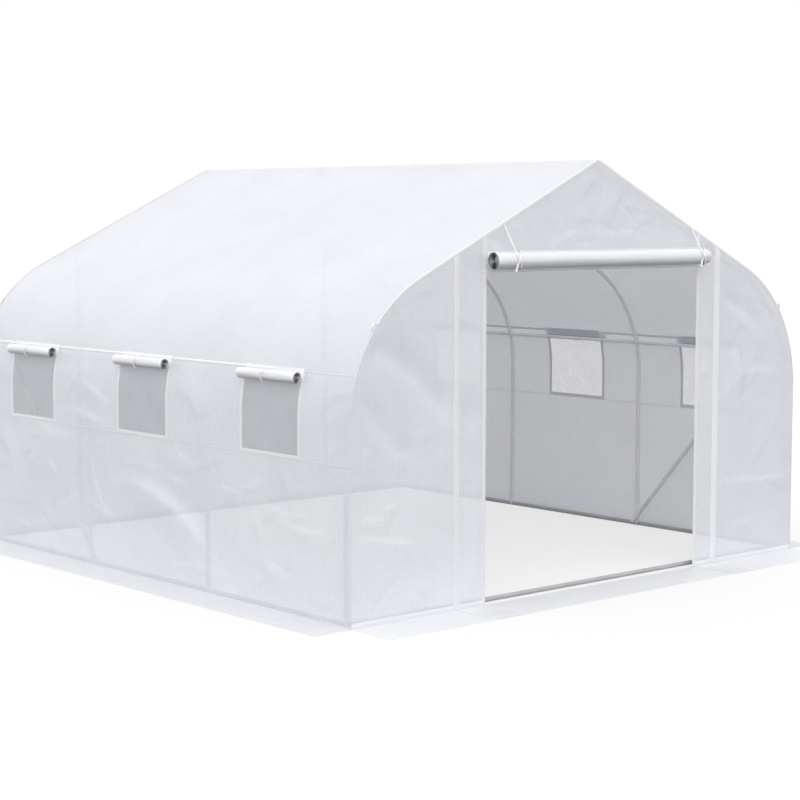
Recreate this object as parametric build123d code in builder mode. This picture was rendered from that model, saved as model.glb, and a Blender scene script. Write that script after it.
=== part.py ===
"""Walk-in polytunnel greenhouse: a tube frame of four hoops under a film cover with roll-up openings.

Millimetres. X runs across the tunnel, Y along it from the door end (-Y) to the closed end (+Y), Z is up.
The origin is on the ground under the middle of the tunnel.
"""

import os
from math import asin, cos, degrees, radians, sin, sqrt, tan

from build123d import *

# Tunnel section, measured on the outside of the cover
width = 3000
height = 2000
roof_pitch = 25.3
haunch_radius = 680

# Frame layout
bays = 3
bay_length = 1000
end_overhang = 50
tube_diameter = 22
purlin_diameter = 19
tube_wall = 0.8
sleeve_wall = 2.2
fit_gap = 0.3

# Cover
film = 2.0
lower_seam_height = 690
upper_seam_height = 1070

# Door end: the opening, the strips beside it, and the sheet rolled up over it
door_width = 1434
jamb_width = 171
head_drop = 90
door_roll_diameter = 80
door_roll_rise = 53
door_roll_overhang = {"left": -5, "right": 53}

# Windows, one in each bay of each side, set from the two level seams
window_width = 400
sill_rise = 15
window_head_drop = 25
window_shift = 10
screen_thickness = 1.0
window_roll_diameter = 50
window_roll_overhang = 5
window_roll_rise = 1

# Ground skirts
side_skirt = 200
end_skirt = 262

# Frame details
purlin_height = 1033
brace_foot_rise = 10
brace_head_height = 1130
brace_overrun = 16
ridge_arm = 60
ridge_stub = 45
rafter_stop = 8
ridge_tube_play = 3

# Trim
seam_flap_width = 41
seam_flap_tilt = 26
tape = 1.0
side_tape_width = 11
door_tape_width = 16
tie_diameter = 5
door_tie_inset = {"left": 105, "right": 62}
door_tie_wrap = 20
loop_angle = 39.2
loop_length = 38
loop_depth = 20
loop_taper = 60
loop_strap = 2.5
loop_width = 10
window_tie_width = 8
window_tie_shift = 15
window_tie_strap = 1.5

# Values worked out from the sizes above
length = bays * bay_length + 2 * end_overhang
front_face = -length / 2
film_run = length / 2 - film
tube_radius = tube_diameter / 2
purlin_radius = purlin_diameter / 2
sleeve_radius = tube_radius + fit_gap + sleeve_wall
haunch_turn = 90 - roof_pitch
haunch_center_x = width / 2 - haunch_radius
spring_height = height - (haunch_radius + haunch_center_x * sin(radians(roof_pitch))) / cos(radians(roof_pitch))
hoop_inset = film + fit_gap + sleeve_radius
hoop_x = width / 2 - hoop_inset
hoop_stations = [front_face + end_overhang + bay_length * i for i in range(bays + 1)]
bay_centers = [(a + b) / 2 for a, b in zip(hoop_stations, hoop_stations[1:])]
door_half = door_width / 2
end_seam_offset = door_half + jamb_width
door_head = height - end_seam_offset * tan(radians(roof_pitch)) - head_drop
window_sill = lower_seam_height + sill_rise
window_head = upper_seam_height - window_head_drop
sides = {"left": -1, "right": 1}
window_centers = {name: [y - side * window_shift for y in bay_centers] for name, side in sides.items()}

os.makedirs("parts", exist_ok=True)


def save(piece, label):
    piece.part.label = label
    export_step(piece.part, f"parts/{label}.step")


def section_plane(y):
    """Upright plane across the tunnel at y, with its first axis along +X and its second along +Z."""
    return Plane.XZ.offset(-y)


def ridge_height(inset):
    """Height of the peak of the section drawn inset from the outside of the cover."""
    return height - inset / cos(radians(roof_pitch))


def wall_x(z, inset):
    """Distance from the middle of the tunnel to the leg or haunch at height z."""
    rise = max(z - spring_height, 0)
    return haunch_center_x + sqrt((haunch_radius - inset) ** 2 - rise**2)


def half_section(side, inset):
    """Leg, haunch and rafter of one side, drawn inset from the outside of the cover."""
    x = side * (width / 2 - inset)
    leg = Line((x, 0), (x, spring_height))
    haunch = JernArc(leg @ 1, leg % 1, haunch_radius - inset, side * haunch_turn)
    Line(haunch @ 1, (0, ridge_height(inset)))


def shell_outline(side, inset, thickness):
    """The closed outline of a thin shell that follows leg, haunch and rafter of one side."""
    half_section(side, inset)
    half_section(side, inset + thickness)
    Line((side * (width / 2 - inset), 0), (side * (width / 2 - inset - thickness), 0))
    Line((0, ridge_height(inset)), (0, ridge_height(inset + thickness)))


def end_outline():
    """The closed outline of the tunnel's end."""
    half_section(1, 0)
    half_section(-1, 0)
    Line((-width / 2, 0), (width / 2, 0))


def tube_ring(radius):
    """Section of a tube."""
    Circle(radius)
    Circle(radius - tube_wall, mode=Mode.SUBTRACT)


def hoop_half(side, y, outer, bore=0):
    """One bent tube of a hoop, from the ground to just short of the ridge."""
    peak = (0, y, ridge_height(hoop_inset))
    stop_plane = Plane(peak, z_dir=(side * cos(radians(roof_pitch)), 0, -sin(radians(roof_pitch))))
    with BuildPart() as tube:
        with BuildLine(section_plane(y)):
            half_section(side, hoop_inset)
        with BuildSketch(Plane((side * hoop_x, y, 0))):
            Circle(outer)
            if bore:
                Circle(bore, mode=Mode.SUBTRACT)
        sweep()
        split(bisect_by=stop_plane.offset(rafter_stop), keep=Keep.TOP)
    return tube


# Hoops: each is two bent tubes that meet in a connector at the ridge
hoop_clearances = []
for number, y in enumerate(hoop_stations, start=1):
    for name, side in sides.items():
        save(hoop_half(side, y, tube_radius, tube_radius - tube_wall), f"hoop_{number}_{name}")
        hoop_clearances.append(hoop_half(side, y, tube_radius + fit_gap).part)

# Ridge connectors: a bent sleeve round the ends of the rafters, with stubs that take the ridge tube
peak_height = ridge_height(hoop_inset)
arm_reach = ridge_arm * cos(radians(roof_pitch))
arm_drop = ridge_arm * sin(radians(roof_pitch))
with BuildPart() as ridge_connectors:
    for wall, mode in ((sleeve_wall, Mode.ADD), (0, Mode.SUBTRACT)):
        for y in hoop_stations:
            with BuildLine() as bend:
                Polyline(
                    (-arm_reach, y, peak_height - arm_drop),
                    (0, y, peak_height),
                    (arm_reach, y, peak_height - arm_drop),
                )
            with BuildSketch(Plane(bend.line @ 0, z_dir=bend.line % 0)):
                Circle(tube_radius + fit_gap + wall)
            sweep(path=bend.line, transition=Transition.RIGHT, mode=mode)
            for direction, last in ((-1, hoop_stations[0]), (1, hoop_stations[-1])):
                if y != last:
                    with BuildSketch(Plane((0, y, peak_height), z_dir=(0, direction, 0))):
                        Circle(purlin_radius + fit_gap + wall)
                    extrude(amount=ridge_stub, mode=mode)
save(ridge_connectors, "ridge_connectors")

# Ridge tube: one length in each bay, ending inside the connectors
with BuildPart() as ridge_tube:
    for y in bay_centers:
        with BuildSketch(section_plane(y)):
            with Locations((0, peak_height)):
                tube_ring(purlin_radius)
        extrude(amount=bay_length / 2 - tube_radius - ridge_tube_play, both=True)
save(ridge_tube, "ridge_tube")

# Purlins and side base rails: lengths that are coped to the hoops at both ends
for label, x, z, radius in (
    ("purlins", wall_x(purlin_height, hoop_inset), purlin_height, purlin_radius),
    ("base_rails_side", hoop_x, tube_radius, tube_radius),
):
    with BuildPart() as rails:
        with BuildSketch(section_plane(0)):
            with Locations((-x, z), (x, z)):
                tube_ring(radius)
        extrude(amount=hoop_stations[-1], both=True)
        for clearance in hoop_clearances:
            add(clearance, mode=Mode.SUBTRACT)
    save(rails, label)

# End base rails: across the tunnel, coped to the legs of the end hoops and to the side rails
with BuildPart() as end_rails:
    with BuildSketch(Plane.YZ):
        with Locations((hoop_stations[0], tube_radius), (hoop_stations[-1], tube_radius)):
            tube_ring(tube_radius)
    extrude(amount=hoop_x, both=True)
    for y in (hoop_stations[0], hoop_stations[-1]):
        with BuildSketch():
            with Locations((-hoop_x, y), (hoop_x, y)):
                Circle(tube_radius + fit_gap)
        extrude(amount=tube_diameter, mode=Mode.SUBTRACT)
        with BuildSketch(section_plane(y)):
            with Locations((-hoop_x, tube_radius), (hoop_x, tube_radius)):
                Circle(tube_radius + fit_gap)
        extrude(amount=tube_diameter, both=True, mode=Mode.SUBTRACT)
save(end_rails, "base_rails_end")

# Braces: inside the hoops, from the foot of an inner hoop up to the haunch of the end hoop
brace_inset = hoop_inset + tube_diameter + fit_gap
with BuildPart() as braces:
    for side, foot_y, head_y in (
        (1, hoop_stations[1], hoop_stations[0]),
        (-1, hoop_stations[-2], hoop_stations[-1]),
    ):
        foot = Vector(side * (width / 2 - brace_inset), foot_y, tube_diameter + brace_foot_rise)
        head = Vector(side * wall_x(brace_head_height, brace_inset), head_y, brace_head_height)
        along = (head - foot).normalized()
        with BuildSketch(Plane(foot - along * brace_overrun, z_dir=along)):
            tube_ring(tube_radius)
        extrude(amount=(head - foot).length + 2 * brace_overrun)
    for clearance in hoop_clearances:
        add(clearance, mode=Mode.SUBTRACT)
save(braces, "braces")

# Side covers: a plain lower panel, the window band above it, and the roof up to the ridge
for name, side in sides.items():
    for label, z0, z1 in (
        ("side_panel", 0, lower_seam_height),
        ("window_band", lower_seam_height, upper_seam_height),
        ("roof", upper_seam_height, height),
    ):
        with BuildPart() as cover:
            with BuildSketch(section_plane(0)):
                with BuildLine():
                    shell_outline(side, 0, film)
                make_face()
                with Locations((side * width / 4, (z0 + z1) / 2)):
                    Rectangle(width / 2, z1 - z0, mode=Mode.INTERSECT)
            extrude(amount=film_run, both=True)
            if label == "window_band":
                with BuildSketch(Plane.YZ):
                    with Locations(*[(y, (window_sill + window_head) / 2) for y in window_centers[name]]):
                        Rectangle(window_width, window_head - window_sill)
                extrude(amount=side * width, mode=Mode.SUBTRACT)
        save(cover, f"{label}_{name}")

# Insect screens in the windows, following the curve of the band
for name, side in sides.items():
    with BuildPart() as screens:
        with BuildSketch(section_plane(0)):
            with BuildLine():
                shell_outline(side, (film - screen_thickness) / 2, screen_thickness)
            make_face()
        extrude(amount=film_run, both=True)
        with BuildSketch(Plane.YZ):
            with Locations(*[(y, (window_sill + window_head) / 2) for y in window_centers[name]]):
                Rectangle(window_width - 2 * fit_gap, window_head - window_sill - 2 * fit_gap)
        extrude(amount=side * width, mode=Mode.INTERSECT)
    save(screens, f"window_screens_{name}")

# Window covers, rolled up over the windows, and a tie round each roll that is open towards the wall
roll_radius = window_roll_diameter / 2
roll_height = window_head + window_roll_rise
roll_x = wall_x(roll_height, -roll_radius - fit_gap)
with BuildPart() as window_ties:
    for name, side in sides.items():
        for y in window_centers[name]:
            with BuildSketch(section_plane(y + window_tie_shift)):
                with Locations((side * roll_x, roll_height)):
                    Circle(roll_radius + fit_gap + window_tie_strap)
                    Circle(roll_radius + fit_gap, mode=Mode.SUBTRACT)
                with Locations((side * (roll_x - roll_radius), roll_height)):
                    Rectangle(roll_radius, 2 * window_roll_diameter, mode=Mode.SUBTRACT)
            extrude(amount=window_tie_width / 2, both=True)
save(window_ties, "window_ties")
for name, side in sides.items():
    with BuildPart() as rolls:
        for y in window_centers[name]:
            with BuildSketch(section_plane(y)):
                with Locations((side * roll_x, roll_height)):
                    Circle(roll_radius)
            extrude(amount=window_width / 2 + window_roll_overhang, both=True)
    save(rolls, f"window_rolls_{name}")

# Binding tapes: down both sides of each window from under its roll, and along the sill
tape_top = roll_height - roll_radius
tape_foot = lower_seam_height
for name, side in sides.items():
    with BuildPart() as tapes:
        with BuildSketch(section_plane(0)):
            with BuildLine():
                shell_outline(side, -fit_gap - tape, tape)
            make_face()
        extrude(amount=film_run, both=True)
        with BuildSketch(Plane.YZ):
            with Locations(*[(y, (tape_foot + tape_top) / 2) for y in window_centers[name]]):
                Rectangle(window_width + 2 * side_tape_width, tape_top - tape_foot)
            with Locations(*[(y, (window_sill + height) / 2) for y in window_centers[name]]):
                Rectangle(window_width, height - window_sill, mode=Mode.SUBTRACT)
        extrude(amount=side * width, mode=Mode.INTERSECT)
    save(tapes, f"window_tapes_{name}")

# End walls: panels outside the two upright seams, and between them the part beside and over the door
for end, y, opening in (("front", front_face, True), ("back", -front_face - film, False)):
    pieces = {
        "panel_left": ((-width / 2, 0), (-end_seam_offset, height)),
        "panel_right": ((end_seam_offset, 0), (width / 2, height)),
    }
    if opening:
        pieces["jamb_left"] = ((-end_seam_offset, 0), (-door_half, door_head))
        pieces["jamb_right"] = ((door_half, 0), (end_seam_offset, door_head))
        pieces["gable"] = ((-end_seam_offset, door_head), (end_seam_offset, height))
    else:
        pieces["panel_middle"] = ((-end_seam_offset, 0), (end_seam_offset, height))
    for label, ((x0, z0), (x1, z1)) in pieces.items():
        with BuildPart() as panel:
            with BuildSketch(section_plane(y)):
                with BuildLine():
                    end_outline()
                make_face()
                with Locations(((x0 + x1) / 2, (z0 + z1) / 2)):
                    Rectangle(x1 - x0, z1 - z0, mode=Mode.INTERSECT)
            extrude(amount=-film)
        save(panel, f"{end}_{label}")

# Seam flaps: strips that stand off the end walls along the upright seams
with BuildPart() as seam_flaps:
    reach = seam_flap_width * cos(radians(seam_flap_tilt))
    stand = seam_flap_width * sin(radians(seam_flap_tilt))
    for end in (-1, 1):
        face = end * length / 2
        for side in sides.values():
            root_x = side * (end_seam_offset - seam_flap_width / 2)
            with BuildSketch(Plane.XY.offset(film + fit_gap)):
                with BuildLine():
                    Polyline(
                        (root_x, face),
                        (root_x + side * reach, face + end * stand),
                        (root_x + side * reach, face + end * (stand - film)),
                        (root_x + side * film / tan(radians(seam_flap_tilt)), face),
                        close=True,
                    )
                make_face()
            extrude(amount=height)
    with BuildSketch(section_plane(0)):
        with BuildLine():
            end_outline()
        make_face()
    extrude(amount=length, both=True, mode=Mode.INTERSECT)
save(seam_flaps, "seam_flaps")

# Ground skirts, lying flat outside the walls
for label, x, y, across, along in (
    ("skirt_front", 0, front_face - end_skirt / 2, width, end_skirt),
    ("skirt_back", 0, -front_face + end_skirt / 2, width, end_skirt),
    ("skirt_left", -(width + side_skirt) / 2, 0, side_skirt, length),
    ("skirt_right", (width + side_skirt) / 2, 0, side_skirt, length),
):
    with BuildPart() as skirt:
        with BuildSketch(Plane((x, y, 0))):
            Rectangle(across, along)
        extrude(amount=film)
    save(skirt, label)

# Binding tapes down both edges of the doorway
door_roll_radius = door_roll_diameter / 2
door_roll_height = door_head + door_roll_rise
with BuildPart() as door_tapes:
    tape_x = door_half + door_tape_width / 2
    with BuildSketch(Plane((0, front_face - fit_gap - tape / 2, film + fit_gap))):
        with Locations((-tape_x, 0), (tape_x, 0)):
            Rectangle(door_tape_width, tape)
    extrude(amount=door_head - film - fit_gap)
save(door_tapes, "door_tapes")

# Door sheet, rolled up over the doorway
door_roll_y = front_face - door_roll_radius - fit_gap
with BuildPart() as door_roll:
    roll_start = -door_half - door_roll_overhang["left"]
    roll_end = door_half + door_roll_overhang["right"]
    with BuildSketch(Plane((roll_start, door_roll_y, door_roll_height), z_dir=(1, 0, 0))):
        Circle(door_roll_radius)
    extrude(amount=roll_end - roll_start)
save(door_roll, "door_roll")

# Door ties: from the rafter seam straight down to the roll, then round its front and under it
tie_radius = tie_diameter / 2
tie_bend = door_roll_radius + fit_gap + tie_radius
with BuildPart() as door_ties:
    for name, side in sides.items():
        offset = door_half - door_tie_inset[name]
        top = height - offset * tan(radians(roof_pitch)) - tie_diameter
        start = Vector(side * offset, front_face - fit_gap - tie_radius, top)
        to_axis = Vector(start.X, door_roll_y, door_roll_height) - start
        lean = degrees(asin(-to_axis.Y / to_axis.length) + asin(tie_bend / to_axis.length))
        heading = Vector(0, -sin(radians(lean)), -cos(radians(lean)))
        run = sqrt(to_axis.length**2 - tie_bend**2)
        with BuildLine(Plane.YZ.offset(start.X)) as route:
            taut = Line((start.Y, start.Z), (start.Y + heading.Y * run, start.Z + heading.Z * run))
            JernArc(taut @ 1, (heading.Y, heading.Z), tie_bend, 90 + lean + door_tie_wrap)
        with BuildSketch(Plane(start, z_dir=heading)):
            Circle(tie_radius)
        sweep(path=route.line)
save(door_ties, "door_ties")

# Loops sewn to the haunches of the end walls
with BuildPart() as haunch_loops:
    for end in (-1, 1):
        for side in sides.values():
            outward = Vector(side * cos(radians(loop_angle)), 0, sin(radians(loop_angle)))
            seat = Vector(side * haunch_center_x, end * length / 2, spring_height)
            seat += outward * (haunch_radius + fit_gap)
            upward = Vector(-side * sin(radians(loop_angle)), 0, cos(radians(loop_angle)))
            with BuildSketch(Plane(seat, x_dir=upward, z_dir=(0, side, 0))):
                with Locations((0, loop_depth / 2)):
                    Trapezoid(loop_length, loop_depth, loop_taper)
                    Trapezoid(
                        loop_length - 4 * loop_strap, loop_depth - 2 * loop_strap, loop_taper, mode=Mode.SUBTRACT
                    )
            extrude(amount=-end * side * loop_width)
save(haunch_loops, "haunch_loops")
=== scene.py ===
"""Looks of the polytunnel greenhouse: film cover, screens, rolls, ties, bolts, materials, light and camera.

Metres, in the frame of the part: X across, Y from the door end to the closed end, Z up. The sizes repeat
part.py. On the cover, s is the distance along leg, haunch and rafter, measured from the ground.
"""

from math import cos, pi, radians, sin, sqrt, tan

import bpy
import numpy as np
from mathutils import Matrix, Vector


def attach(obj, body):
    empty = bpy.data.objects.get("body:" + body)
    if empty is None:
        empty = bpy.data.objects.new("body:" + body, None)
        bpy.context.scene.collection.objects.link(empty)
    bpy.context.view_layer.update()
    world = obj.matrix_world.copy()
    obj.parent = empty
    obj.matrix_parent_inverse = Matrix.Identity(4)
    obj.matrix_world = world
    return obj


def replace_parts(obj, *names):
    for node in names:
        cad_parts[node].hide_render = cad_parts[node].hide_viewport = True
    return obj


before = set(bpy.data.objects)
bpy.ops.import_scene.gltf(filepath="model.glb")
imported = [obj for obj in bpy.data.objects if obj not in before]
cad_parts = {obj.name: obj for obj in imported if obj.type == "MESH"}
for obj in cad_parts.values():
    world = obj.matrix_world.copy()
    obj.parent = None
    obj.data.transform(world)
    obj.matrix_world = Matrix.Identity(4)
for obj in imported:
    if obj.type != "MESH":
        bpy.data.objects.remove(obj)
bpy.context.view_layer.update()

# Sizes of the tunnel, as in part.py
HALF_WIDTH = 1.5
HEIGHT = 2.0
PITCH = radians(25.3)
HAUNCH = 0.68
HAUNCH_X = HALF_WIDTH - HAUNCH
SPRING = HEIGHT - (HAUNCH + HAUNCH_X * sin(PITCH)) / cos(PITCH)
HAUNCH_TURN = pi / 2 - PITCH
ARC_END = SPRING + HAUNCH * HAUNCH_TURN
EAVE_X = HAUNCH_X + HAUNCH * cos(HAUNCH_TURN)
HALF_RUN = ARC_END + EAVE_X / cos(PITCH)
HALF_LENGTH = 1.55
LENGTH = 2 * HALF_LENGTH
HOOPS = (-1.5, -0.5, 0.5, 1.5)
BAY_MIDDLES = (-1.0, 0.0, 1.0)
HOOP_INSET = 0.0158
PURLIN_HEIGHT = 1.033
LOWER_SEAM = 0.69
UPPER_SEAM = 1.07
SILL, HEAD = 0.705, 1.045
WINDOW = 0.4
WINDOW_SHIFT = 0.01
SEAM_X = 0.888
DOOR_X = 0.717
DOOR_HEAD = HEIGHT - SEAM_X * tan(PITCH) - 0.09
SIDE_SKIRT, END_SKIRT = 0.2, 0.262
SIDES = {"left": -1, "right": 1}
ENDS = {"front": -1, "back": 1}
WINDOWS = {name: [y - side * WINDOW_SHIFT for y in BAY_MIDDLES] for name, side in SIDES.items()}

# How far the film lies inside the outside of the CAD cover, and how close its mesh is
FILM_SKIN = 0.001
STEP = 0.0125
WALL_STEP = 0.01


def run_at(z):
    """Distance along the cover from the ground up to height z, on the leg or the haunch."""
    return z if z < SPRING else float(SPRING + HAUNCH * np.arcsin((z - SPRING) / HAUNCH))


# Cover geometry


def section(s):
    """Points (x, z) and outward normals of the right half of the cover at the distances s along it."""
    s = np.asarray(s, float)
    turn = np.clip((s - SPRING) / HAUNCH, 0, HAUNCH_TURN)
    x = HAUNCH_X + HAUNCH * np.cos(turn)
    z = np.minimum(s, SPRING) + HAUNCH * np.sin(turn)
    rest = np.maximum(s - ARC_END, 0)
    return x - rest * cos(PITCH), z + rest * sin(PITCH), np.cos(turn), np.sin(turn)


def outline_height(x):
    """Height of the end wall's outline at x."""
    x = abs(x)
    haunch = SPRING + np.sqrt(np.maximum(HAUNCH**2 - np.maximum(x - HAUNCH_X, 0) ** 2, 0))
    return np.where(x > EAVE_X, haunch, HEIGHT - x * tan(PITCH))


def edge_distance(x, z):
    """How far inside the outline a point of an end wall is."""
    dx, dz = abs(x) - HAUNCH_X, z - SPRING
    turn = np.arctan2(dz, dx)
    arc = HAUNCH - np.hypot(dx, dz)
    roof = (HEIGHT - z) * cos(PITCH) - abs(x) * sin(PITCH)
    return np.where(turn < 0, HALF_WIDTH - abs(x), np.where(turn > HAUNCH_TURN, roof, arc))


def smooth(x):
    """Smooth step from 0 at 0 to 1 at 1."""
    x = np.clip(x, 0, 1)
    return x * x * (3 - 2 * x)


def crossed(a, b):
    """Two lines as a grid."""
    return np.meshgrid(a, b, indexing="ij")


def stacked(*columns):
    """Columns side by side on the last axis, spread to one shape."""
    return np.stack(np.broadcast_arrays(*columns), -1)


def noise(u, v, scale, seed, octaves=3):
    """Seeded gradient noise over a sheet, about -1 to 1."""
    total, strength = np.zeros(np.broadcast(u, v).shape), 1.0
    for octave in range(octaves):
        angle = np.random.default_rng(seed + octave).random((64, 64)) * 2 * pi
        gx, gy = np.cos(angle), np.sin(angle)
        a, b = u / scale * 2**octave + 31.7, v / scale * 2**octave + 17.3
        i, j = np.floor(a).astype(int), np.floor(b).astype(int)
        fa, fb = a - i, b - j
        wa, wb = smooth(fa), smooth(fb)
        corner = {}
        for di in (0, 1):
            for dj in (0, 1):
                k, m = (i + di) % 64, (j + dj) % 64
                corner[di, dj] = gx[k, m] * (fa - di) + gy[k, m] * (fb - dj)
        low = corner[0, 0] * (1 - wa) + corner[1, 0] * wa
        high = corner[0, 1] * (1 - wa) + corner[1, 1] * wa
        total += strength * (low * (1 - wb) + high * wb)
        strength *= 0.5
    return total * 1.4


def fold(u, v, points, rise, above, below):
    """One fold along a line seen from outside: it stands out by rise and falls off over two widths."""
    points = np.asarray(points, float)
    reach = 2.4 * max(above, below)
    low, high = points.min(0) - reach, points.max(0) + reach
    inside = (u > low[0]) & (u < high[0]) & (v > low[1]) & (v < high[1])
    out = np.zeros(u.shape)
    p = stacked(u[inside], v[inside])
    steps = np.linalg.norm(np.diff(points, axis=0), axis=1)
    best, signed, along = np.full(len(p), 1e9), np.zeros(len(p)), np.zeros(len(p))
    walked = 0.0
    for a, b, size in zip(points[:-1], points[1:], steps):
        d = (b - a) / size
        t = np.clip((p - a) @ d, 0, size)
        off = p - a - t[:, None] * d
        far = np.hypot(off[:, 0], off[:, 1])
        side = np.sign(d[0] * off[:, 1] - d[1] * off[:, 0])
        near = far < best
        best = np.where(near, far, best)
        signed = np.where(near, side * far, signed)
        along = np.where(near, (walked + t) / steps.sum(), along)
        walked += size
    width = np.where(signed > 0, above, below)
    out[inside] = rise * np.exp(-((signed / width) ** 2)) * np.sin(pi * np.clip(along, 0.02, 0.98)) ** 0.6
    return out


def scattered(seed, count, low, high, rise):
    """Small creases strewn over a wall, from a fixed seed."""
    r = np.random.default_rng(seed)
    found = []
    for _ in range(count):
        middle = r.uniform(low, high)
        angle = r.uniform(0, pi)
        half = r.uniform(0.04, 0.2) * np.array([cos(angle), sin(angle)])
        bend = r.uniform(-0.03, 0.03, 2)
        wide, thin = r.uniform(0.02, 0.07), r.uniform(0.006, 0.018)
        above, below = (wide, thin) if r.random() < 0.5 else (thin, wide)
        line = [middle - half, middle + bend, middle + half]
        if line[0][0] > line[2][0]:
            line.reverse()
        found.append((line, r.uniform(0.4, 1.0) * rise * r.choice((-1, 1)), above, below))
    return found


# Folds that the photograph shows, as seen from outside: (line, rise, width above, width below)
LEFT_FOLDS = [
    (
        [(-0.16, 0.447), (0.06, 0.422), (0.24, 0.371), (0.36, 0.314), (0.44, 0.242), (0.5, 0.214)],
        0.023, 0.046, 0.12,
    ),
    ([(0.2, 0.72), (0.27, 0.64), (0.34, 0.59), (0.45, 0.565)], 0.008, 0.027, 0.081),
    ([(0.26, 0.95), (0.4, 0.91), (0.5, 0.8)], 0.008, 0.081, 0.03),
    ([(0.44, 0.9), (0.47, 0.76), (0.51, 0.58)], 0.0057, 0.068, 0.027),
    ([(-0.55, 0.921), (-0.42, 0.871), (-0.27, 0.808)], 0.006, 0.014, 0.068),
    ([(-0.64, 0.769), (-0.49, 0.746), (-0.31, 0.716)], 0.006, 0.014, 0.068),
    ([(-0.99, 0.665), (-0.85, 0.625), (-0.62, 0.625)], 0.0064, 0.027, 0.081),
    ([(-0.87, 0.5), (-0.78, 0.41)], 0.0041, 0.014, 0.041),
    ([(-0.47, 0.6), (-0.44, 0.43), (-0.37, 0.313), (-0.28, 0.25)], 0.006, 0.016, 0.068),
    ([(-1.2, 0.15), (-1.04, 0.11)], 0.0046, 0.016, 0.054),
    ([(0.88, 0.43), (0.93, 0.3)], 0.0046, 0.014, 0.054),
    ([(1.06, 0.39), (1.21, 0.375), (1.38, 0.373)], 0.0055, 0.016, 0.068),
    ([(1.0, 0.2), (1.12, 0.145)], 0.0051, 0.02, 0.068),
    ([(0.18, 0.505), (0.38, 0.487)], 0.0051, 0.019, 0.068),
    ([(0.62, 0.5), (0.78, 0.48)], 0.0051, 0.019, 0.068),
    ([(-1.42, 0.62), (-1.25, 0.52), (-1.2, 0.36)], 0.0069, 0.068, 0.027),
]
FRONT_FOLDS = [
    (
        [(-1.45, 1.2), (-1.28, 1.16), (-1.14, 1.075), (-1.02, 0.965), (-0.9, 0.87), (-0.72, 0.83)],
        -0.024, 0.078, 0.052,
    ),
    ([(-1.46, 0.99), (-1.34, 0.86), (-1.23, 0.745), (-1.12, 0.7)], -0.012, 0.058, 0.039),
    ([(-1.13, 1.04), (-1.07, 1.0)], 0.0034, 0.013, 0.039),
    ([(-1.12, 0.828), (-1.04, 0.785)], 0.0042, 0.013, 0.052),
    ([(-0.98, 0.725), (-0.91, 0.668)], 0.0042, 0.013, 0.052),
    ([(-1.46, 0.442), (-1.28, 0.447)], 0.0042, 0.016, 0.052),
    ([(-1.48, 0.385), (-1.34, 0.353), (-1.14, 0.317)], 0.0067, 0.016, 0.078),
    ([(-1.15, 0.15), (-1.03, 0.112)], 0.0046, 0.016, 0.052),
    ([(-1.18, 0.11), (-1.12, 0.066)], 0.0042, 0.013, 0.039),
    ([(-0.12, 1.79), (-0.02, 1.62)], 0.0046, 0.016, 0.052),
    ([(0.02, 1.651), (0.29, 1.654)], 0.0046, 0.016, 0.052),
    ([(-0.31, 1.64), (-0.1, 1.668)], 0.0042, 0.016, 0.052),
    ([(0.88, 1.36), (1.05, 1.285), (1.23, 1.175)], -0.0095, 0.046, 0.029),
    ([(1.03, 1.225), (1.11, 1.185)], 0.0042, 0.013, 0.039),
    ([(1.04, 0.935), (1.2, 0.951), (1.37, 0.935)], 0.0055, 0.016, 0.065),
    ([(0.9, 1.075), (1.02, 1.02), (1.06, 0.95), (1.03, 0.86), (0.92, 0.79)], 0.0084, 0.039, 0.065),
    ([(0.92, 0.407), (1.28, 0.384), (1.48, 0.391)], 0.0071, 0.016, 0.078),
    ([(0.92, 0.46), (1.0, 0.34)], 0.0042, 0.016, 0.052),
    ([(1.05, 0.172), (1.18, 0.178)], 0.0042, 0.013, 0.039),
    ([(0.74, 0.983), (0.84, 0.965)], 0.0038, 0.013, 0.039),
    ([(0.73, 0.482), (0.83, 0.493)], 0.0038, 0.013, 0.039),
]
ROOF_FOLDS = [
    ([(0.2, 2.02), (0.42, 1.93), (0.6, 1.86)], 0.0022, 0.024, 0.014),
    ([(-0.1, 2.25), (0.12, 2.32)], 0.0017, 0.024, 0.014),
    ([(0.75, 2.16), (1.02, 2.22)], 0.0017, 0.024, 0.014),
    ([(-0.5, 2.4), (-0.3, 2.5), (-0.2, 2.46)], 0.0019, 0.024, 0.014),
    ([(0.1, 2.62), (0.35, 2.55)], 0.0017, 0.024, 0.014),
]
SIDE_CORNERS = (-1.5, 0.03), (1.5, 1.05)
END_CORNERS = (-1.45, 0.05), (1.45, 1.9)
ROOF_CORNERS = (-1.5, 1.1), (1.5, 2.8)
LEFT_FOLDS += scattered(3, 90, *SIDE_CORNERS, 0.003) + ROOF_FOLDS + scattered(7, 60, *ROOF_CORNERS, 0.0007)
RIGHT_FOLDS = scattered(4, 90, *SIDE_CORNERS, 0.002) + scattered(8, 70, *ROOF_CORNERS, 0.0008)
SHELL_FOLDS = {-1: LEFT_FOLDS, 1: RIGHT_FOLDS}
GABLE_CREASES = scattered(9, 36, (-0.85, 1.5), (0.85, 1.95), 0.0036)
END_FOLDS = {
    -1: FRONT_FOLDS + scattered(5, 110, *END_CORNERS, 0.0034) + GABLE_CREASES,
    1: scattered(6, 110, *END_CORNERS, 0.0022),
}


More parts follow.
